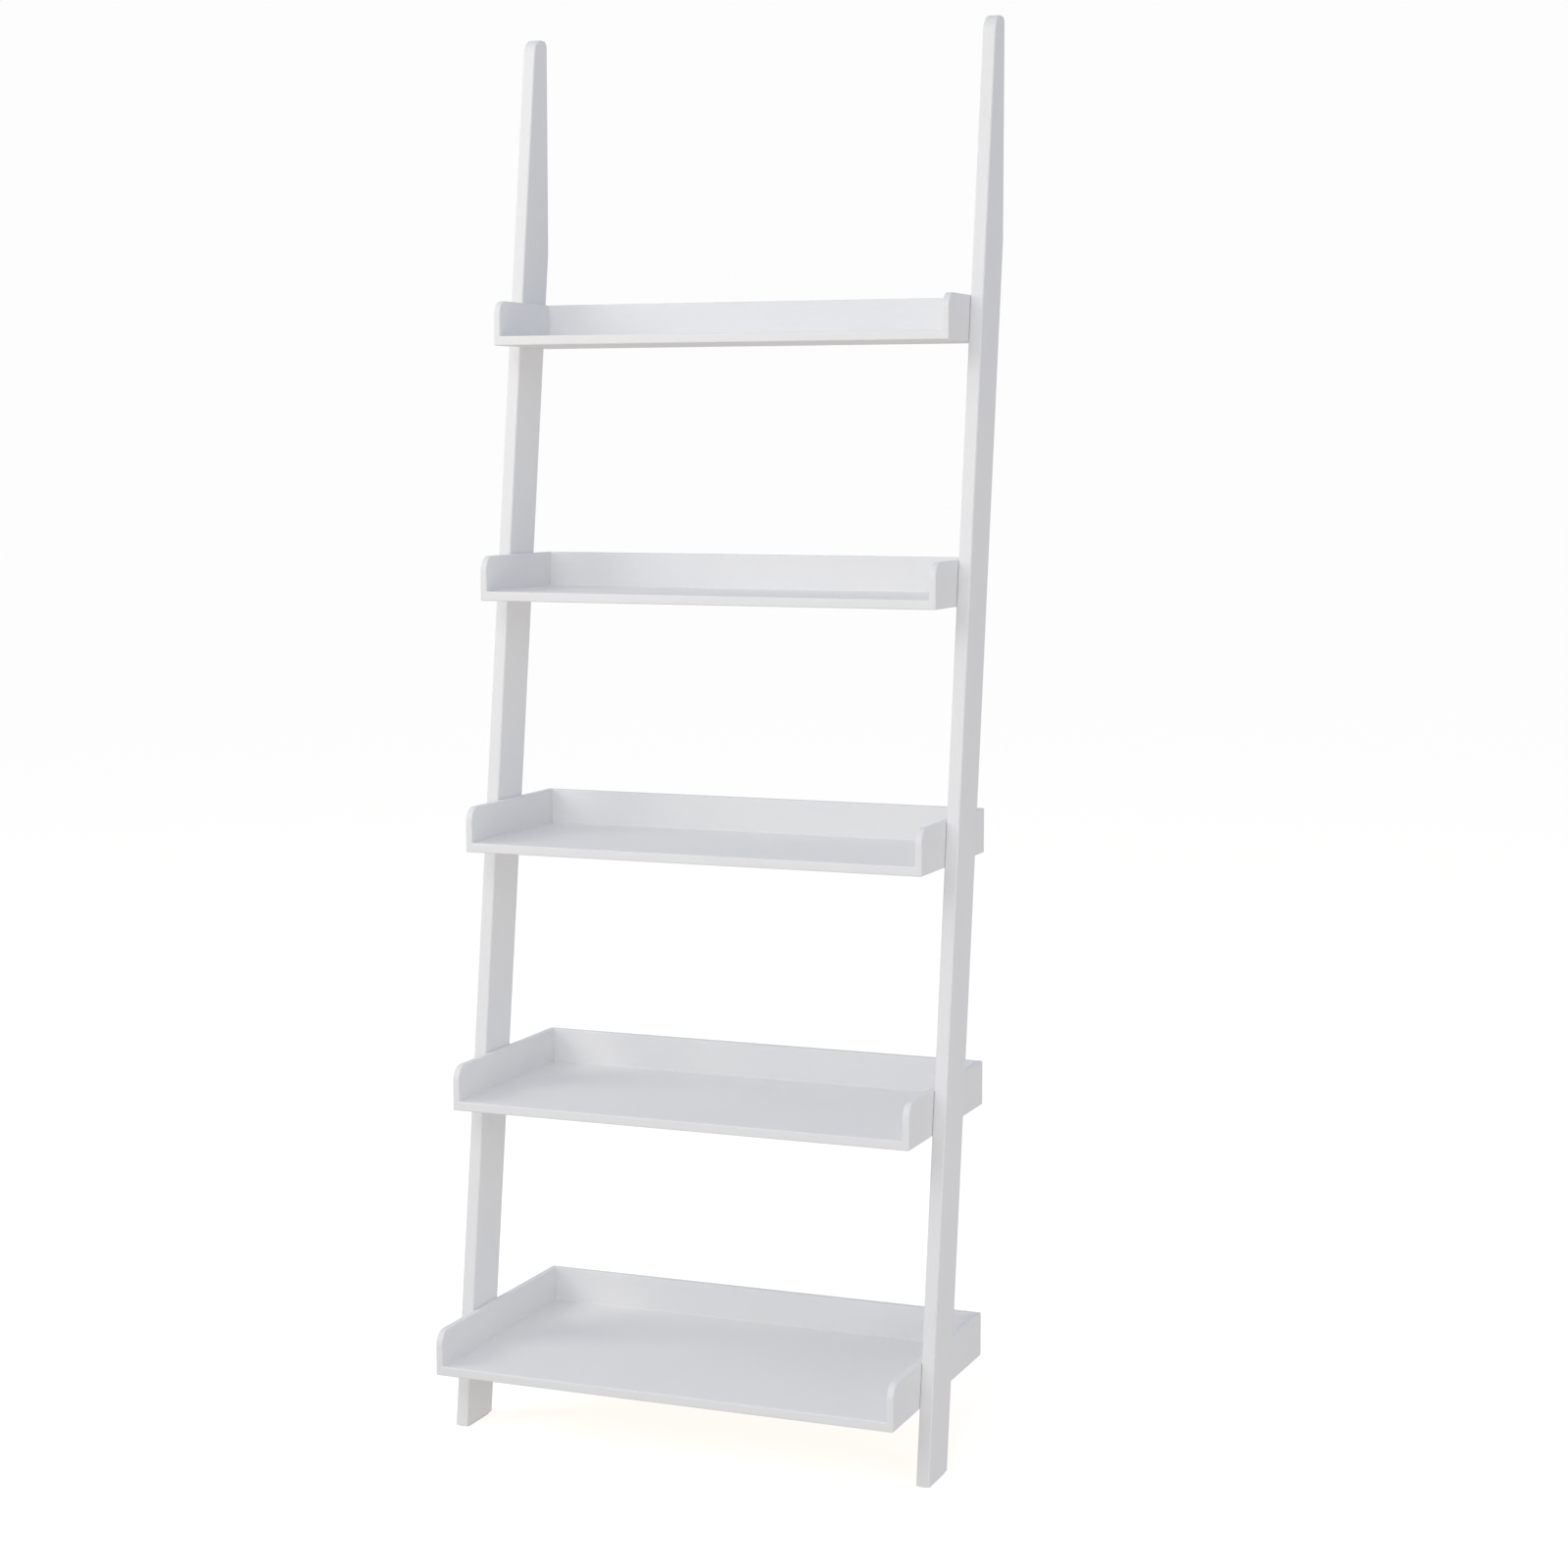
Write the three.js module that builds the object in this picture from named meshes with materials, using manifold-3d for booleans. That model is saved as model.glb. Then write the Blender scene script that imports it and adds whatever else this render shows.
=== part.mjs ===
// Leaning ladder shelf with five trays, in millimetres, +Z up.
// The origin is on the floor at the centre of the footprint. +Y points to the wall, +X to the right.
import * as THREE from "three";
import { mergeVertices } from "three/addons/utils/BufferGeometryUtils.js";
import Module from "manifold-3d";

const wasm = await Module();
wasm.setup();

// Overall size
const WIDTH = 650;
const HEIGHT = 1800;
const DEPTH = 348; // from the wall to the front of the bottom tray
const WALL_Y = DEPTH / 2;

// Side rails
const RAIL_THICKNESS = 17;
const RAIL_RUN = 70; // depth of a rail, measured level
const FOOT_FRONT = 265; // from the wall to the front of a foot, at the floor
const LEAN = 0.128; // how far a rail runs toward the wall for each unit of rise
const RAIL_TOP_FRONT_RADIUS = 22;
const RAIL_TOP_REAR_RADIUS = 8;

// Trays, from the top down: the height of the underside, and the depth of the tray
const TIERS = [
  { underside: 1397, depth: 152 },
  { underside: 1071, depth: 196 },
  { underside: 752, depth: 243 },
  { underside: 425, depth: 285 },
  { underside: 94, depth: 338 },
];
const TRAY_WALL_GAP = 10;
const TRAY_WIDTH = WIDTH - 2 * RAIL_THICKNESS;
const RIM_HEIGHT = 57; // from the underside of the board to the top of the panels
const BOARD_THICKNESS = 12;
const PANEL_THICKNESS = 9;
const RIM_CORNER_RADIUS = 18;

// Tongue round three edges of a board, in grooves of the panels
const TONGUE_THICKNESS = 4;
const TONGUE_LENGTH = 4;
const TONGUE_FRONT_STOP = 12; // the joint ends this far behind the front edge
const GLUE_GAP = 0.3;

// Headed studs in the rails, and the keyhole slots that hang a tray on them
const STUD_HEIGHT = 38; // above the underside of the tray
const STUD_OFFSET = 18; // to either side of the rail's centre line
const STUD_SHANK_RADIUS = 2;
const STUD_SHANK_LENGTH = 12;
const STUD_NECK_RADIUS = 2.2;
const STUD_HEAD_RADIUS = 4.2;
const STUD_HEAD_THICKNESS = 2.2;
const SLOT_DROP = 16; // from the seat of the stud down to the entry hole
const SLOT_LIP = 2.5;
const SLOT_DEPTH = 5.5;
const FIT_GAP = 0.3;

// Anti-slip foot pads
const PAD_THICKNESS = 2;
const PAD_WIDTH = 14;
const PAD_LENGTH = 60;
const PAD_CORNER_RADIUS = 3;

// Hanger plates behind the top tray
const HANGER_X = 200; // from the middle of the shelf
const HANGER_WIDTH = 18;
const HANGER_HEIGHT = 45;
const HANGER_THICKNESS = 1.5;
const HANGER_CORNER_RADIUS = 5;
const HANGER_ENTRY_RADIUS = 5;
const HANGER_SLOT_RADIUS = 2.5;
const HANGER_SLOT_RISE = 9;
const HANGER_POCKET_DEPTH = 4;
const HANGER_SCREW_OFFSET = 17; // above and below the middle of the plate
const SCREW_SHANK_RADIUS = 1.4;
const SCREW_SHANK_LENGTH = 6;
const SCREW_HEAD_RADIUS = 2.8;
const SCREW_HEAD_THICKNESS = 1.6;
const SCREW_HEAD_EDGE = 0.8; // height of the upright edge of the head
const SCREW_CROWN_RADIUS = 1.6;

// Each arc gets twice as many segments as its steps.
const ARC_STEPS = 3;
const SHOWN_ARC_STEPS = 6; // on the corners of rails and rims, which are in plain sight
const ROUND_SEGMENTS = 12;
const OVERCUT = 1; // how far a cutter reaches past the face that it enters

const PAINTED_WOOD = { color: 0xf0f0ee, roughness: 0.42, metalness: 0 };
const STEEL = { color: 0xa9abad, roughness: 0.35, metalness: 1 };
const RUBBER = { color: 0xb9b9b5, roughness: 0.9, metalness: 0 };

// Outlines

// A closed counterclockwise outline. Each corner is [x, y, radius].
function roundedOutline(corners) {
  const shape = new THREE.Shape();
  corners.forEach(([x, y, radius], i) => {
    const corner = new THREE.Vector2(x, y);
    const last = corners.at(i - 1);
    const next = corners[(i + 1) % corners.length];
    const toLast = new THREE.Vector2(last[0], last[1]).sub(corner).normalize();
    const toNext = new THREE.Vector2(next[0], next[1]).sub(corner).normalize();
    if (radius > 0) {
      const half = Math.acos(toLast.dot(toNext)) / 2;
      const inward = toLast.clone().add(toNext).normalize();
      const centre = corner.clone().addScaledVector(inward, radius / Math.sin(half));
      const reach = radius / Math.tan(half);
      const start = corner.clone().addScaledVector(toLast, reach).sub(centre);
      const end = corner.clone().addScaledVector(toNext, reach).sub(centre);
      shape.absarc(centre.x, centre.y, radius, start.angle(), end.angle(), false);
    } else if (i === 0) {
      shape.moveTo(x, y);
    } else {
      shape.lineTo(x, y);
    }
  });
  shape.closePath();
  return shape;
}

function roundedRectangle(width, height, radius) {
  const x = width / 2;
  const y = height / 2;
  return roundedOutline([
    [-x, -y, radius],
    [x, -y, radius],
    [x, y, radius],
    [-x, y, radius],
  ]);
}

// An upright slot with round ends, from the origin up to the height rise.
function slotOutline(radius, rise) {
  const shape = new THREE.Shape();
  shape.absarc(0, 0, radius, Math.PI, 2 * Math.PI, false);
  shape.absarc(0, rise, radius, 0, Math.PI, false);
  shape.closePath();
  return shape;
}

// Geometry

function extruded(shape, thickness, arcSteps = ARC_STEPS) {
  return new THREE.ExtrudeGeometry(shape, {
    depth: thickness,
    bevelEnabled: false,
    curveSegments: arcSteps,
  });
}

// Turns an outline drawn as (depth, height) to stand across the shelf, thickness along +X.
function standAcross(geometry) {
  const turn = new THREE.Matrix4().makeBasis(
    new THREE.Vector3(0, 1, 0),
    new THREE.Vector3(0, 0, 1),
    new THREE.Vector3(1, 0, 0),
  );
  return geometry.applyMatrix4(turn);
}

// Turns an outline drawn as (width, height) to face the room, thickness along -Y.
function standFacing(geometry) {
  return geometry.rotateX(Math.PI / 2);
}

// A box given by its lowest and highest corners.
function boxBetween(low, high) {
  const size = high.map((value, i) => value - low[i]);
  const middle = high.map((value, i) => (value + low[i]) / 2);
  return new THREE.BoxGeometry(...size).translate(...middle);
}

function toSolid(geometry) {
  const bare = geometry.clone();
  bare.deleteAttribute("normal");
  bare.deleteAttribute("uv");
  const merged = mergeVertices(bare, 1e-4);
  return new wasm.Manifold(
    new wasm.Mesh({
      numProp: 3,
      vertProperties: merged.attributes.position.array,
      triVerts: new Uint32Array(merged.index.array),
    }),
  );
}

function toGeometry(solid) {
  const mesh = solid.getMesh();
  const geometry = new THREE.BufferGeometry();
  geometry.setAttribute("position", new THREE.BufferAttribute(mesh.vertProperties, 3));
  geometry.setIndex(new THREE.BufferAttribute(mesh.triVerts, 1));
  const flat = geometry.toNonIndexed();
  flat.computeVertexNormals();
  return flat;
}

function cut(geometry, cutters) {
  const start = toSolid(geometry);
  return toGeometry(cutters.reduce((solid, cutter) => solid.subtract(toSolid(cutter)), start));
}

function joined(first, second) {
  return toGeometry(toSolid(first).add(toSolid(second)));
}

function piece(name, geometry, material, position = [0, 0, 0]) {
  const mesh = new THREE.Mesh(geometry, new THREE.MeshStandardMaterial(material));
  mesh.name = name;
  mesh.position.set(...position);
  return mesh;
}

// Where things are

const SIDES = [
  { name: "left", sign: -1 },
  { name: "right", sign: 1 },
];

// The front edge of a rail at a height.
function railFrontY(z) {
  return WALL_Y - FOOT_FRONT + LEAN * z;
}

// The two studs of one side of a tray, as points along Y and Z.
function studPlaces(tier) {
  const z = tier.underside + STUD_HEIGHT;
  const centre = railFrontY(z) + RAIL_RUN / 2;
  return [
    { name: "front", y: centre - STUD_OFFSET, z },
    { name: "rear", y: centre + STUD_OFFSET, z },
  ];
}

// Side rails

function railGeometry(sign) {
  const bendZ = (FOOT_FRONT - RAIL_RUN) / LEAN;
  const outline = roundedOutline([
    [railFrontY(PAD_THICKNESS), PAD_THICKNESS, 0],
    [railFrontY(PAD_THICKNESS) + RAIL_RUN, PAD_THICKNESS, 0],
    [WALL_Y, bendZ, 0],
    [WALL_Y, HEIGHT, RAIL_TOP_REAR_RADIUS],
    [railFrontY(HEIGHT), HEIGHT, RAIL_TOP_FRONT_RADIUS],
  ]);
  const innerX = (sign * TRAY_WIDTH) / 2;
  const lowX = Math.min(innerX, innerX + sign * RAIL_THICKNESS);
  const blank = standAcross(extruded(outline, RAIL_THICKNESS, SHOWN_ARC_STEPS));
  blank.translate(lowX, 0, 0);
  const holeDepth = STUD_SHANK_LENGTH + FIT_GAP;
  const holeLength = holeDepth + OVERCUT;
  const holes = TIERS.flatMap(studPlaces).map(({ y, z }) => {
    const radius = STUD_SHANK_RADIUS + FIT_GAP;
    const drill = new THREE.CylinderGeometry(radius, radius, holeLength, ROUND_SEGMENTS);
    const middleX = innerX + sign * (holeDepth - holeLength / 2);
    return drill.rotateZ(Math.PI / 2).translate(middleX, y, z);
  });
  return cut(blank, holes);
}

function footPad(side) {
  const x = side.sign * (WIDTH - RAIL_THICKNESS) / 2;
  const y = railFrontY(PAD_THICKNESS) + RAIL_RUN / 2;
  const outline = roundedRectangle(PAD_WIDTH, PAD_LENGTH, PAD_CORNER_RADIUS);
  return piece(`${side.name}_foot_pad`, extruded(outline, PAD_THICKNESS), RUBBER, [x, y, 0]);
}

// Headed stud: the shank is in the rail, and the head is in the tray's side panel.
function studGeometry(sign) {
  const lip = SLOT_LIP + FIT_GAP;
  const profile = [
    [0, -STUD_SHANK_LENGTH],
    [STUD_SHANK_RADIUS, STUD_SHANK_RADIUS - STUD_SHANK_LENGTH],
    [STUD_SHANK_RADIUS, -FIT_GAP],
    [STUD_NECK_RADIUS, 0],
    [STUD_NECK_RADIUS, lip],
    [STUD_HEAD_RADIUS, lip],
    [STUD_HEAD_RADIUS, lip + STUD_HEAD_THICKNESS],
    [0, lip + STUD_HEAD_THICKNESS],
  ].map(([radius, along]) => new THREE.Vector2(radius, along));
  const stud = new THREE.LatheGeometry(profile, ROUND_SEGMENTS);
  return stud.rotateZ((sign * Math.PI) / 2);
}

// Trays. Each is built with its back at y = 0 and its underside at z = 0.

function boardGeometry(depth) {
  const halfWidth = TRAY_WIDTH / 2 - PANEL_THICKNESS;
  const back = -PANEL_THICKNESS;
  const tongueZ = (BOARD_THICKNESS - TONGUE_THICKNESS) / 2;
  const core = boxBetween([-halfWidth, -depth, 0], [halfWidth, back, BOARD_THICKNESS]);
  const tongue = boxBetween(
    [-halfWidth - TONGUE_LENGTH, TONGUE_FRONT_STOP - depth, tongueZ],
    [halfWidth + TONGUE_LENGTH, back + TONGUE_LENGTH, tongueZ + TONGUE_THICKNESS],
  );
  return joined(core, tongue);
}

// The span of a groove, which is a tongue's with room for glue.
const GROOVE_LOW = (BOARD_THICKNESS - TONGUE_THICKNESS) / 2 - GLUE_GAP;
const GROOVE_HIGH = (BOARD_THICKNESS + TONGUE_THICKNESS) / 2 + GLUE_GAP;
const GROOVE_DEPTH = TONGUE_LENGTH + GLUE_GAP;

// The cutters of one keyhole slot, for a panel whose outer face is at x = outerX.
function keyholeCutters(outerX, sign, y, z) {
  const layer = (shape, from, to) => {
    const ends = [outerX - sign * from, outerX - sign * to];
    const geometry = standAcross(extruded(shape, to - from));
    return geometry.translate(Math.min(...ends), y, z - SLOT_DROP);
  };
  const headRadius = STUD_HEAD_RADIUS + FIT_GAP;
  return [
    layer(slotOutline(STUD_NECK_RADIUS + FIT_GAP, SLOT_DROP), -OVERCUT, SLOT_DEPTH),
    layer(slotOutline(headRadius, SLOT_DROP), SLOT_LIP, SLOT_DEPTH),
    layer(slotOutline(headRadius, 0), -OVERCUT, SLOT_DEPTH),
  ];
}

function sidePanelGeometry(sign, tier) {
  const outline = roundedOutline([
    [-tier.depth, 0, 0],
    [0, 0, 0],
    [0, RIM_HEIGHT, 0],
    [-tier.depth, RIM_HEIGHT, RIM_CORNER_RADIUS],
  ]);
  const outerX = (sign * TRAY_WIDTH) / 2;
  const innerX = outerX - sign * PANEL_THICKNESS;
  const blank = standAcross(extruded(outline, PANEL_THICKNESS, SHOWN_ARC_STEPS));
  blank.translate(Math.min(outerX, innerX), 0, 0);
  const grooveX = [innerX - sign * OVERCUT, innerX + sign * GROOVE_DEPTH];
  const groove = boxBetween(
    [Math.min(...grooveX), TONGUE_FRONT_STOP - GLUE_GAP - tier.depth, GROOVE_LOW],
    [Math.max(...grooveX), GROOVE_DEPTH - PANEL_THICKNESS, GROOVE_HIGH],
  );
  const keyholes = studPlaces(tier).flatMap(({ y, z }) =>
    keyholeCutters(outerX, sign, y - (WALL_Y - TRAY_WALL_GAP), z - tier.underside),
  );
  return cut(blank, [groove, ...keyholes]);
}

function backPanelGeometry(pockets) {
  const halfWidth = TRAY_WIDTH / 2 - PANEL_THICKNESS;
  const blank = boxBetween([-halfWidth, -PANEL_THICKNESS, 0], [halfWidth, 0, RIM_HEIGHT]);
  const groove = boxBetween(
    [-halfWidth - OVERCUT, -PANEL_THICKNESS - OVERCUT, GROOVE_LOW],
    [halfWidth + OVERCUT, GROOVE_DEPTH - PANEL_THICKNESS, GROOVE_HIGH],
  );
  return cut(blank, [groove, ...pockets]);
}

// Keyhole hanger plates, on the back of the top tray at y = 0

// The pocket and the screw holes in the back panel, for one plate.
function hangerPockets(x) {
  const z = RIM_HEIGHT / 2;
  const pocketShape = slotOutline(HANGER_ENTRY_RADIUS + FIT_GAP, HANGER_SLOT_RISE);
  const pocket = standFacing(extruded(pocketShape, HANGER_POCKET_DEPTH + OVERCUT));
  const holeDepth = SCREW_SHANK_LENGTH + FIT_GAP;
  const radius = SCREW_SHANK_RADIUS + FIT_GAP;
  const holes = [-HANGER_SCREW_OFFSET, HANGER_SCREW_OFFSET].map((offset) => {
    const drill = new THREE.CylinderGeometry(radius, radius, holeDepth + OVERCUT, ROUND_SEGMENTS);
    return drill.translate(x, (OVERCUT - holeDepth) / 2, z + offset);
  });
  return [pocket.translate(x, OVERCUT, z - HANGER_SLOT_RISE / 2), ...holes];
}

function hangerPlateGeometry() {
  const outline = roundedRectangle(HANGER_WIDTH, HANGER_HEIGHT, HANGER_CORNER_RADIUS);
  const plate = standFacing(extruded(outline, HANGER_THICKNESS)).translate(0, HANGER_THICKNESS, 0);
  const depth = HANGER_THICKNESS + 2 * OVERCUT;
  const through = (shape, z) =>
    standFacing(extruded(shape, depth)).translate(0, HANGER_THICKNESS + OVERCUT, z);
  const seat = -HANGER_SLOT_RISE / 2;
  const screwRadius = SCREW_SHANK_RADIUS + FIT_GAP;
  return cut(plate, [
    through(slotOutline(HANGER_ENTRY_RADIUS, 0), seat),
    through(slotOutline(HANGER_SLOT_RADIUS, HANGER_SLOT_RISE), seat),
    through(slotOutline(screwRadius, 0), HANGER_SCREW_OFFSET),
    through(slotOutline(screwRadius, 0), -HANGER_SCREW_OFFSET),
  ]);
}

function hangerScrewGeometry() {
  const under = HANGER_THICKNESS;
  const profile = [
    [0, -SCREW_SHANK_LENGTH],
    [SCREW_SHANK_RADIUS, SCREW_SHANK_RADIUS - SCREW_SHANK_LENGTH],
    [SCREW_SHANK_RADIUS, under],
    [SCREW_HEAD_RADIUS, under],
    [SCREW_HEAD_RADIUS, under + SCREW_HEAD_EDGE],
    [SCREW_CROWN_RADIUS, under + SCREW_HEAD_THICKNESS],
    [0, under + SCREW_HEAD_THICKNESS],
  ].map(([radius, along]) => new THREE.Vector2(radius, along));
  return new THREE.LatheGeometry(profile, ROUND_SEGMENTS);
}

function hanger(side) {
  const group = new THREE.Group();
  group.position.set(side.sign * HANGER_X, 0, RIM_HEIGHT / 2);
  group.add(piece(`${side.name}_hanger_plate`, hangerPlateGeometry(), STEEL));
  for (const [place, sign] of [["upper", 1], ["lower", -1]]) {
    const name = `${side.name}_hanger_${place}_screw`;
    const position = [0, 0, sign * HANGER_SCREW_OFFSET];
    group.add(piece(name, hangerScrewGeometry(), STEEL, position));
  }
  return group;
}

function tray(tier, index) {
  const name = `tray_${index + 1}`;
  const isTop = index === 0;
  const group = new THREE.Group();
  group.position.set(0, WALL_Y - TRAY_WALL_GAP, tier.underside);
  group.add(piece(`${name}_board`, boardGeometry(tier.depth), PAINTED_WOOD));
  for (const side of SIDES) {
    const geometry = sidePanelGeometry(side.sign, tier);
    group.add(piece(`${name}_${side.name}_side`, geometry, PAINTED_WOOD));
  }
  const pockets = isTop ? SIDES.flatMap(({ sign }) => hangerPockets(sign * HANGER_X)) : [];
  group.add(piece(`${name}_back`, backPanelGeometry(pockets), PAINTED_WOOD));
  if (isTop) {
    SIDES.forEach((side) => group.add(hanger(side)));
  }
  return group;
}

// The assembly

const shelf = new THREE.Group();
for (const side of SIDES) {
  shelf.add(piece(`${side.name}_rail`, railGeometry(side.sign), PAINTED_WOOD));
  shelf.add(footPad(side));
}
TIERS.forEach((tier, index) => {
  shelf.add(tray(tier, index));
  for (const side of SIDES) {
    for (const { name, y, z } of studPlaces(tier)) {
      const studName = `tray_${index + 1}_${side.name}_${name}_stud`;
      const position = [(side.sign * TRAY_WIDTH) / 2, y, z];
      shelf.add(piece(studName, studGeometry(side.sign), STEEL, position));
    }
  }
});

export default shelf;
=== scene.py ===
"""Looks of the leaning ladder shelf, in metres, +Z up, with the wall toward +Y.

Each wooden piece starts from the convex blanks of its CAD solids, so its size is the CAD's. The
panels of a tray become one painted piece. The hidden hardware keeps the CAD's own shapes.
"""

import math

import bmesh
import bpy
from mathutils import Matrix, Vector


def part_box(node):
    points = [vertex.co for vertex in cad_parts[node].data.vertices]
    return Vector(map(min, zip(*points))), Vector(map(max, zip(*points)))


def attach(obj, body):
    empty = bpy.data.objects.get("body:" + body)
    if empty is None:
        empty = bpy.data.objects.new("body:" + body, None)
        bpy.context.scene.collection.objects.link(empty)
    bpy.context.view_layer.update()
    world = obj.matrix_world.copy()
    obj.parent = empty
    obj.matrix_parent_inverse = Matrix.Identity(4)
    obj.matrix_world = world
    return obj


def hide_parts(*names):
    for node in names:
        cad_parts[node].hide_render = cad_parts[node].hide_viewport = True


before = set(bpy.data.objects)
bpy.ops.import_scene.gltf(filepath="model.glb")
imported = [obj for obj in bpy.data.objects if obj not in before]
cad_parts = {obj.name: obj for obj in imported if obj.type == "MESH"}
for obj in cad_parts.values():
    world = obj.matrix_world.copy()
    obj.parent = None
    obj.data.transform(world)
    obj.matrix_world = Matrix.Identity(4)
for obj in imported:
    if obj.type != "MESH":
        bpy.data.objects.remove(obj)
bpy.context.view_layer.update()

X_AXIS = 0
Z_AXIS = 2
TRAYS = range(1, 6)
SIDES = ("left", "right")
PANELS = ("board", "left_side", "right_side", "back")

RAIL_EDGE = 0.0022  # radius of the eased edges of a rail
TRAY_EDGE = 0.0016  # the same of a tray
EDGE_SEGMENTS = 4
PAINT_FILLET = 0.0012  # radius of the paint that fills an inner corner
FILLET_SEGMENTS = 3
MERGE_DISTANCE = 1e-5  # vertices nearer than this are one
TOUCH_DISTANCE = 1e-4  # a vertex nearer than this to a face lies on it
FLAT_ANGLE = math.radians(1)  # faces that meet at less are one face
SHARP_ANGLE = math.radians(25)  # edges that turn more are eased or filled
SMOOTH_ANGLE = math.radians(35)  # edges that turn less are shaded smooth

# The camera of the photograph's view. It stands as high as the photograph's, so it sees the same faces,
# and it tilts a little where the photograph was shifted.
CAMERA_POSITION = (1.492, -3.497, 1.2644)
CAMERA_YAW = math.radians(21.73)  # turned left of straight at the wall
CAMERA_PITCH = math.radians(5.57)  # tilted down
CAMERA_LENS = 69.59
CAMERA_SHIFT = -0.025

# The stage. The floor glows just enough that, far away, it is as pale as the backdrop.
FLOOR_RADIUS = 60
FLOOR_SIDES = 64
FLOOR_REFLECTANCE = 0.86
BACKDROP = 0.98
SKY_LIGHT = (0.505, 0.535, 0.598)
BOUNCE_LIGHT = (0.625, 0.605, 0.59)
HORIZON_BLEND = 0.1  # bounce and sky mix where a direction's z is within this of level
FLOOR_GLOW = tuple(BACKDROP - FLOOR_REFLECTANCE * light for light in SKY_LIGHT)
SHELF_MIDDLE = (0, 0, 0.8)  # what the upper lamps face

# The paint and the hardware. Each pair holds the two colours or the two roughnesses that noise mixes.
NOISE_SPREAD = (0.3, 0.7)  # where the values of a noise mostly lie
PAINT_TINTS = ((0.872, 0.876, 0.880), (0.894, 0.895, 0.892))
PAINT_ROUGHNESS = (0.34, 0.52)
GRAIN_STRETCH = 0.03  # scale of the grain's noise along the grain, where it is 1 across
ZINC_TINTS = ((0.50, 0.51, 0.53), (0.66, 0.67, 0.68))
ZINC_ROUGHNESS = (0.26, 0.44)
RUBBER_TINTS = ((0.42, 0.42, 0.41), (0.52, 0.52, 0.50))
RUBBER_ROUGHNESS = (0.75, 0.92)


# Geometry

def welded(bm):
    bmesh.ops.remove_doubles(bm, verts=bm.verts, dist=MERGE_DISTANCE)
    bmesh.ops.dissolve_limit(bm, angle_limit=FLAT_ANGLE, verts=bm.verts, edges=bm.edges)
    bm.normal_update()
    return bm


def solid_of(node):
    bm = bmesh.new()
    bm.from_mesh(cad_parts[node].data)
    bmesh.ops.remove_doubles(bm, verts=bm.verts, dist=MERGE_DISTANCE)
    return bm


def blank_of(node):
    """The convex blank that a piece is cut from, before its grooves, keyholes and pockets."""
    bm = bmesh.new()
    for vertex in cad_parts[node].data.vertices:
        bm.verts.new(vertex.co)
    hull = bmesh.ops.convex_hull(bm, input=bm.verts)
    bmesh.ops.delete(bm, geom=hull["geom_interior"], context="VERTS")
    return welded(bm)


def combined(operation, *solids):
    """The first solid joined to the others, or with them cut out of it. The given ones are freed."""
    parts = []
    for bm in solids:
        mesh = bpy.data.meshes.new("part")
        bm.to_mesh(mesh)
        bm.free()
        parts.append(bpy.data.objects.new("part", mesh))
        bpy.context.collection.objects.link(parts[-1])
    for other in parts[1:]:
        boolean = parts[0].modifiers.new("boolean", "BOOLEAN")
        boolean.operation = operation
        boolean.solver = "EXACT"
        boolean.object = other
    result = bmesh.new()
    result.from_object(parts[0], bpy.context.evaluated_depsgraph_get())
    for part in parts:
        bpy.data.meshes.remove(part.data)
    return welded(result)


def shells_of(bm):
    left = set(bm.verts)
    shells = []
    while left:
        shell, reached = set(), [left.pop()]
        while reached:
            vertex = reached.pop()
            shell.add(vertex)
            near = {edge.other_vert(vertex) for edge in vertex.link_edges} & left
            left -= near
            reached.extend(near)
        shells.append(shell)
    return shells


def box_around(nodes):
    """The low and the high corner of the box around some CAD solids."""
    lows, highs = zip(*(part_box(node) for node in nodes))
    return Vector(map(min, zip(*lows))), Vector(map(max, zip(*highs)))


def recesses_of(node, low, high):
    """What is cut out of a blank from outside: keyholes, pockets and stud holes, not glued grooves.

    Such a recess reaches an upright outer face of the whole piece, which fills the box from low
    to high."""
    bm = combined("DIFFERENCE", blank_of(node), solid_of(node))
    for shell in shells_of(bm):
        is_outside = any(
            abs(vertex.co[axis] - corner[axis]) < TOUCH_DISTANCE
            for vertex in shell for corner in (low, high) for axis in (0, 1)
        )
        if not is_outside:
            bmesh.ops.delete(bm, geom=list(shell), context="VERTS")
    return bm


def sharp_edges(bm, outward):
    side = 1 if outward else -1
    return [edge for edge in bm.edges if edge.calc_face_angle_signed() * side > SHARP_ANGLE]


def rounded(bm, edges, radius, segments):
    bmesh.ops.bevel(
        bm, geom=edges, offset=radius, offset_type="OFFSET", segments=segments,
        profile=0.5, affect="EDGES", clamp_overlap=False,
    )
    bm.normal_update()


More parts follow.
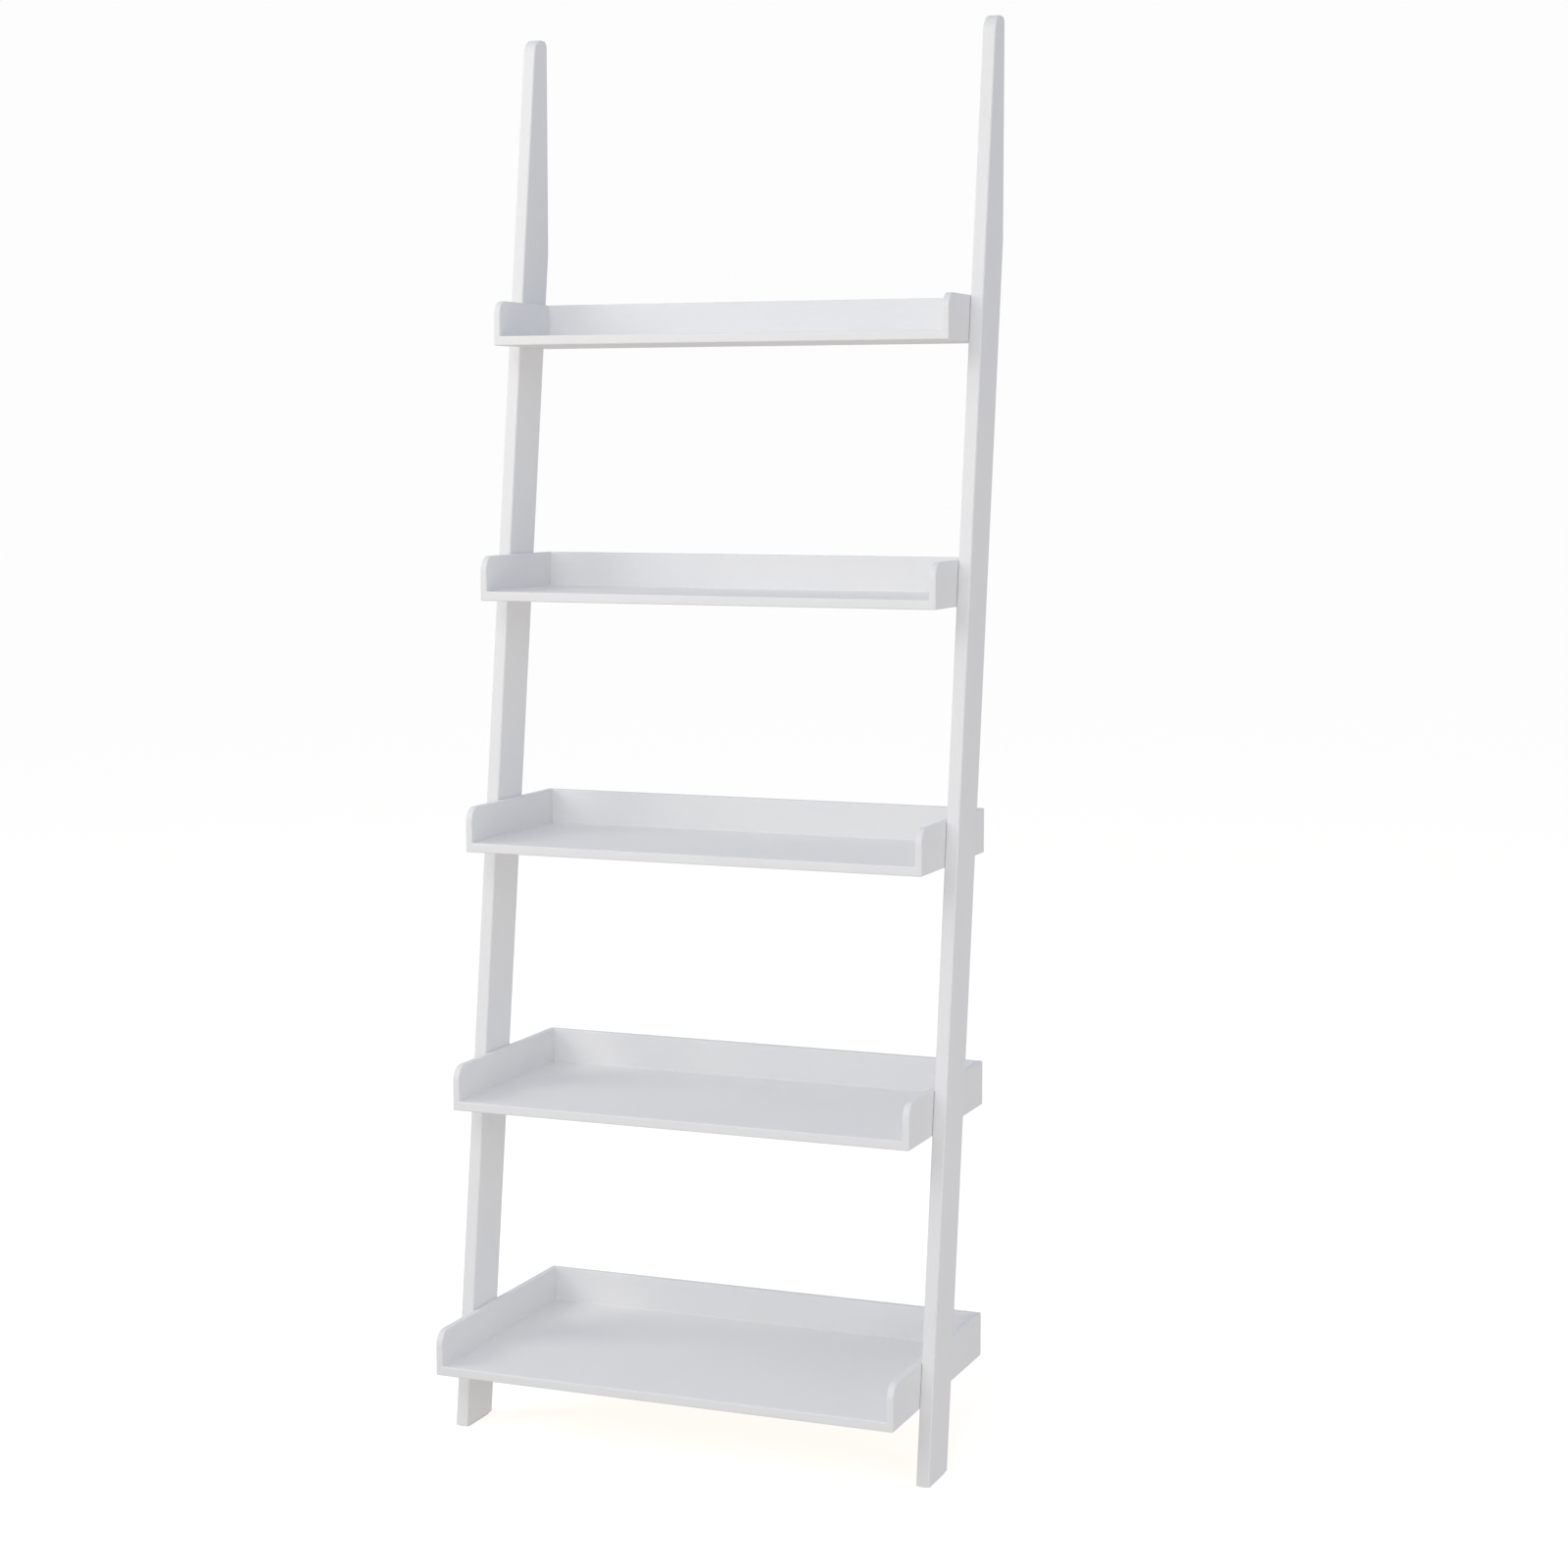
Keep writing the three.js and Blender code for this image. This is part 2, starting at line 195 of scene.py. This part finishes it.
def add_wooden_piece(name, nodes, recessed, radius, material, sawn_level=None):
    """One painted piece in the place of its CAD solids.

    Its blanks are joined, paint fills the inward corners and the outward edges are eased. Then
    the recesses of some of the solids are cut. Edges at the level of a sawn end stay crisp."""
    low, high = box_around(nodes)
    blanks = [blank_of(node) for node in nodes]
    bm = combined("UNION", *blanks)
    rounded(bm, sharp_edges(bm, outward=False), PAINT_FILLET, FILLET_SEGMENTS)
    outward = sharp_edges(bm, outward=True)
    if sawn_level is not None:
        outward = [edge for edge in outward if any(v.co.z > sawn_level for v in edge.verts)]
    rounded(bm, outward, radius, EDGE_SEGMENTS)
    for node in recessed:
        bm = combined("DIFFERENCE", bm, recesses_of(node, low, high))
    bmesh.ops.recalc_face_normals(bm, faces=bm.faces)
    mesh = bpy.data.meshes.new(name)
    bm.to_mesh(mesh)
    bm.free()
    for polygon in mesh.polygons:
        polygon.use_smooth = True
    mesh.set_sharp_from_angle(angle=SMOOTH_ANGLE)
    mesh.materials.append(material)
    piece = bpy.data.objects.new(name, mesh)
    bpy.context.collection.objects.link(piece)
    shading = piece.modifiers.new("flat_faces", "WEIGHTED_NORMAL")
    shading.keep_sharp = True
    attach(piece, "root")
    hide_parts(*nodes)


# Materials

class Nodes:
    """A material's node tree, with short calls to add and link nodes."""

    def __init__(self, name):
        self.material = bpy.data.materials.new(name)
        self.material.use_nodes = True
        self.tree = self.material.node_tree
        self.shader = self.tree.nodes["Principled BSDF"]
        self.coordinates = self.tree.nodes.new("ShaderNodeTexCoord").outputs["Object"]

    def link(self, source, target):
        self.tree.links.new(source, target)

    def stretched(self, scale):
        mapping = self.tree.nodes.new("ShaderNodeMapping")
        mapping.inputs["Scale"].default_value = scale
        self.link(self.coordinates, mapping.inputs["Vector"])
        return mapping.outputs["Vector"]

    def noise(self, scale, detail=2.0, roughness=0.5, stretch=(1, 1, 1)):
        noise = self.tree.nodes.new("ShaderNodeTexNoise")
        noise.inputs["Scale"].default_value = scale
        noise.inputs["Detail"].default_value = detail
        noise.inputs["Roughness"].default_value = roughness
        self.link(self.stretched(stretch), noise.inputs["Vector"])
        return noise.outputs["Fac"]

    def ranged(self, value, low, high):
        """Spreads a noise over a range."""
        node = self.tree.nodes.new("ShaderNodeMapRange")
        node.inputs["From Min"].default_value, node.inputs["From Max"].default_value = NOISE_SPREAD
        node.inputs["To Min"].default_value = low
        node.inputs["To Max"].default_value = high
        self.link(value, node.inputs["Value"])
        return node.outputs["Result"]

    def mixed(self, factor, first, second):
        node = self.tree.nodes.new("ShaderNodeMix")
        node.data_type = "RGBA"
        node.inputs["A"].default_value = (*first, 1)
        node.inputs["B"].default_value = (*second, 1)
        self.link(factor, node.inputs["Factor"])
        return node.outputs["Result"]

    def bump(self, height, strength, distance, below=None):
        node = self.tree.nodes.new("ShaderNodeBump")
        node.inputs["Strength"].default_value = strength
        node.inputs["Distance"].default_value = distance
        self.link(height, node.inputs["Height"])
        if below is not None:
            self.link(below, node.inputs["Normal"])
        return node.outputs["Normal"]


def painted_wood(name, grain_axis):
    """White satin paint. Faint grain runs along one axis under the stipple of a roller."""
    nodes = Nodes(name)
    stretch = [1.0, 1.0, 1.0]
    stretch[grain_axis] = GRAIN_STRETCH
    shader = nodes.shader
    tint = nodes.ranged(nodes.noise(scale=7, detail=3), 0, 1)
    nodes.link(nodes.mixed(tint, *PAINT_TINTS), shader.inputs["Base Color"])
    gloss = nodes.ranged(nodes.noise(scale=60, detail=4), *PAINT_ROUGHNESS)
    nodes.link(gloss, shader.inputs["Roughness"])
    grain = nodes.noise(scale=170, detail=4, roughness=0.65, stretch=stretch)
    stipple = nodes.noise(scale=550, detail=2)
    under = nodes.bump(grain, strength=0.60, distance=0.0006)
    over = nodes.bump(stipple, strength=0.45, distance=0.0005, below=under)
    nodes.link(over, shader.inputs["Normal"])
    shader.inputs["Specular IOR Level"].default_value = 0.45
    return nodes.material


def zinc_steel():
    """Zinc-plated steel, clouded, with a fine uneven surface."""
    nodes = Nodes("zinc_steel")
    shader = nodes.shader
    shader.inputs["Metallic"].default_value = 1.0
    cloud = nodes.ranged(nodes.noise(scale=300, detail=4), 0, 1)
    nodes.link(nodes.mixed(cloud, *ZINC_TINTS), shader.inputs["Base Color"])
    gloss = nodes.ranged(nodes.noise(scale=900, detail=3), *ZINC_ROUGHNESS)
    nodes.link(gloss, shader.inputs["Roughness"])
    spangle = nodes.bump(nodes.noise(scale=2500, detail=2), strength=0.15, distance=0.0001)
    nodes.link(spangle, shader.inputs["Normal"])
    return nodes.material


def pad_rubber():
    """Grey speckled rubber with a pebbled surface."""
    nodes = Nodes("pad_rubber")
    shader = nodes.shader
    speckle = nodes.ranged(nodes.noise(scale=1500, detail=2), 0, 1)
    nodes.link(nodes.mixed(speckle, *RUBBER_TINTS), shader.inputs["Base Color"])
    gloss = nodes.ranged(nodes.noise(scale=400), *RUBBER_ROUGHNESS)
    nodes.link(gloss, shader.inputs["Roughness"])
    pebbles = nodes.bump(nodes.noise(scale=1800, detail=3), strength=0.4, distance=0.0003)
    nodes.link(pebbles, shader.inputs["Normal"])
    return nodes.material


# Pieces

def build_rails(material):
    for side in SIDES:
        rail = f"{side}_rail"
        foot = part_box(rail)[0].z + TOUCH_DISTANCE
        add_wooden_piece(f"{rail}_painted", [rail], [rail], RAIL_EDGE, material, sawn_level=foot)


def build_tray(number, material):
    """A tray is glued and then painted, so its four panels make one piece."""
    nodes = [f"tray_{number}_{panel}" for panel in PANELS]
    recessed = [node for node in nodes if not node.endswith("_board")]
    add_wooden_piece(f"tray_{number}_painted", nodes, recessed, TRAY_EDGE, material)


def finish_hardware():
    """The hidden CAD pieces keep their shapes and take their materials."""
    steel, rubber = zinc_steel(), pad_rubber()
    for name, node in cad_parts.items():
        if name.endswith(("_stud", "_hanger_plate", "_screw")):
            material = steel
        elif name.endswith("_foot_pad"):
            material = rubber
        else:
            continue
        node.data.materials.clear()
        node.data.materials.append(material)


# Stage

def build_floor():
    """A near-white floor. Its bounce on the object comes from the world's lower half instead."""
    bm = bmesh.new()
    bmesh.ops.create_circle(bm, cap_ends=True, radius=FLOOR_RADIUS, segments=FLOOR_SIDES)
    mesh = bpy.data.meshes.new("floor")
    bm.to_mesh(mesh)
    bm.free()
    floor = bpy.data.objects.new("floor", mesh)
    bpy.context.collection.objects.link(floor)
    nodes = Nodes("floor")
    shader = nodes.shader
    shader.inputs["Base Color"].default_value = (*[FLOOR_REFLECTANCE] * 3, 1)
    shader.inputs["Roughness"].default_value = 0.9
    shader.inputs["Specular IOR Level"].default_value = 0.1
    shader.inputs["Emission Color"].default_value = (*FLOOR_GLOW, 1)
    shader.inputs["Emission Strength"].default_value = 1.0
    mesh.materials.append(nodes.material)
    floor.visible_diffuse = False
    floor.visible_glossy = False


def build_world():
    """Cool soft light from above, light bounced off a floor from below, and a pale backdrop."""
    world = bpy.data.worlds.new("studio")
    world.use_nodes = True
    tree = world.node_tree
    direction = tree.nodes.new("ShaderNodeTexCoord").outputs["Generated"]
    parts = tree.nodes.new("ShaderNodeSeparateXYZ")
    height = tree.nodes.new("ShaderNodeMapRange")
    height.inputs["From Min"].default_value = -HORIZON_BLEND
    height.inputs["From Max"].default_value = HORIZON_BLEND
    lighting = tree.nodes.new("ShaderNodeMix")
    lighting.data_type = "RGBA"
    lighting.inputs["A"].default_value = (*BOUNCE_LIGHT, 1)
    lighting.inputs["B"].default_value = (*SKY_LIGHT, 1)
    seen = tree.nodes.new("ShaderNodeMix")
    seen.data_type = "RGBA"
    seen.inputs["B"].default_value = (*[BACKDROP] * 3, 1)
    is_seen = tree.nodes.new("ShaderNodeLightPath").outputs["Is Camera Ray"]
    tree.links.new(direction, parts.inputs["Vector"])
    tree.links.new(parts.outputs["Z"], height.inputs["Value"])
    tree.links.new(height.outputs["Result"], lighting.inputs["Factor"])
    tree.links.new(lighting.outputs["Result"], seen.inputs["A"])
    tree.links.new(is_seen, seen.inputs["Factor"])
    tree.links.new(seen.outputs["Result"], tree.nodes["Background"].inputs["Color"])
    bpy.context.scene.world = world


def add_softbox(name, position, target, size, power, colour):
    light = bpy.data.lights.new(name, "AREA")
    light.shape = "RECTANGLE"
    light.size, light.size_y = size
    light.energy = power
    light.color = colour
    lamp = bpy.data.objects.new(name, light)
    lamp.location = position
    away = Vector(position) - Vector(target)
    lamp.rotation_euler = away.to_track_quat("Z", "Y").to_euler()
    bpy.context.collection.objects.link(lamp)


def build_lights():
    """A warm key from the left, a broad front light, and a low one that fills the right side."""
    add_softbox(
        "key", position=(-2.4, -1.2, 2.2), target=SHELF_MIDDLE,
        size=(1.6, 1.6), power=24.0, colour=(1.0, 0.95, 0.87),
    )
    add_softbox(
        "front", position=(0, -3.8, 2.9), target=SHELF_MIDDLE,
        size=(2.6, 1.8), power=42.0, colour=(1.0, 0.95, 0.91),
    )
    add_softbox(
        "low_fill", position=(2.4, -0.9, 0.45), target=(0, 0, 0.45),
        size=(1.2, 0.8), power=7.0, colour=(1.0, 0.94, 0.89),
    )


def build_camera():
    data = bpy.data.cameras.new("camera")
    data.lens = CAMERA_LENS
    data.shift_y = CAMERA_SHIFT
    camera = bpy.data.objects.new("camera", data)
    camera.location = CAMERA_POSITION
    camera.rotation_euler = (math.radians(90) - CAMERA_PITCH, 0, CAMERA_YAW)
    bpy.context.collection.objects.link(camera)
    bpy.context.scene.camera = camera


bpy.context.scene.view_settings.view_transform = "Standard"
build_camera()
build_world()
build_lights()
build_floor()
build_rails(painted_wood("painted_rail", Z_AXIS))
tray_paint = painted_wood("painted_tray", X_AXIS)
for tray in TRAYS:
    build_tray(tray, tray_paint)
finish_hardware()
